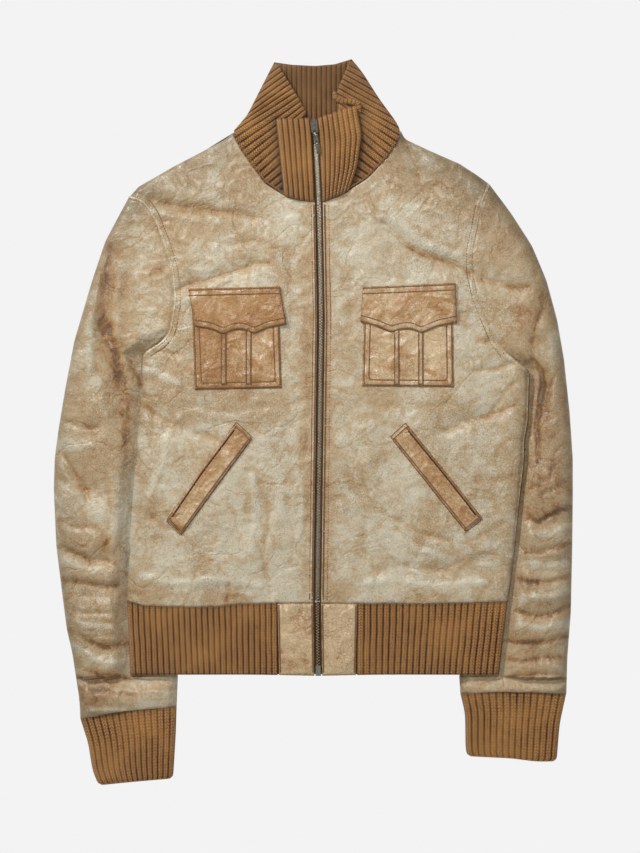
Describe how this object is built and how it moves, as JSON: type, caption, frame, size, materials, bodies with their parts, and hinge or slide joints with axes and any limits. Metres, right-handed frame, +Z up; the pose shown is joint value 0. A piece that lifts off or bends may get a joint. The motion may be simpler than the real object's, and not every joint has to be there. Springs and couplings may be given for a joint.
{
  "type": "leather bomber jacket",
  "caption": "Worn leather bomber jacket laid flat, zipped, with rib-knit collar, hem and cuffs, flapped chest pockets and slanted hand pocket welts.",
  "frame": {"origin": "centre of the bounding box in plan, on the surface that the jacket lies on", "axes": "+Y from hem to collar, +X to the right as seen from the front, +Z up out of the front"},
  "size_m": [0.6067, 0.8482, 0.017],
  "materials": {
    "leather": "worn, mottled cream and ochre over brown, semi-gloss",
    "leather_dark": "darker glossy brown, rubbed at edges",
    "rib_knit": "matt rib knit",
    "zip_tape": "matt woven tape",
    "zip_metal": "antique dark metal"
  },
  "bodies": {
    "jacket": {"back": "leather", "front_left": "leather", "front_right": "leather", "sleeve_left": "leather", "sleeve_right": "leather", "hem_end_left": "leather_dark", "hem_end_right": "leather_dark", "pocket_left": "leather_dark", "pocket_right": "leather_dark", "flap_left": "leather_dark", "flap_right": "leather_dark", "band_left_1": "leather_dark", "band_left_2": "leather_dark", "band_right_1": "leather_dark", "band_right_2": "leather_dark", "welt_left": "leather_dark", "welt_right": "leather_dark", "collar_back": "rib_knit", "collar_side_left": "rib_knit", "collar_side_right": "rib_knit", "collar_front_left": "rib_knit", "collar_front_right": "rib_knit", "hem_rib_front_left": "rib_knit", "hem_rib_front_right": "rib_knit", "hem_rib_back": "rib_knit", "cuff_rib_left": "rib_knit", "cuff_rib_right": "rib_knit", "zip_tape_left": "zip_tape", "zip_tape_right": "zip_tape", "zip_chain": "zip_metal", "zip_slider": "zip_metal", "zip_box": "zip_metal"},
    "zip_pull_body": {"zip_pull": "zip_metal"}
  },
  "joints": [
    {"name": "pull_tab_hinge", "type": "hinge", "parent": "jacket", "child": "zip_pull_body", "pos_m": [0.0011, 0.342, 0.0123], "axis": [-0.9816, -0.1908, 0], "range_deg": [0, 110]}
  ]
}
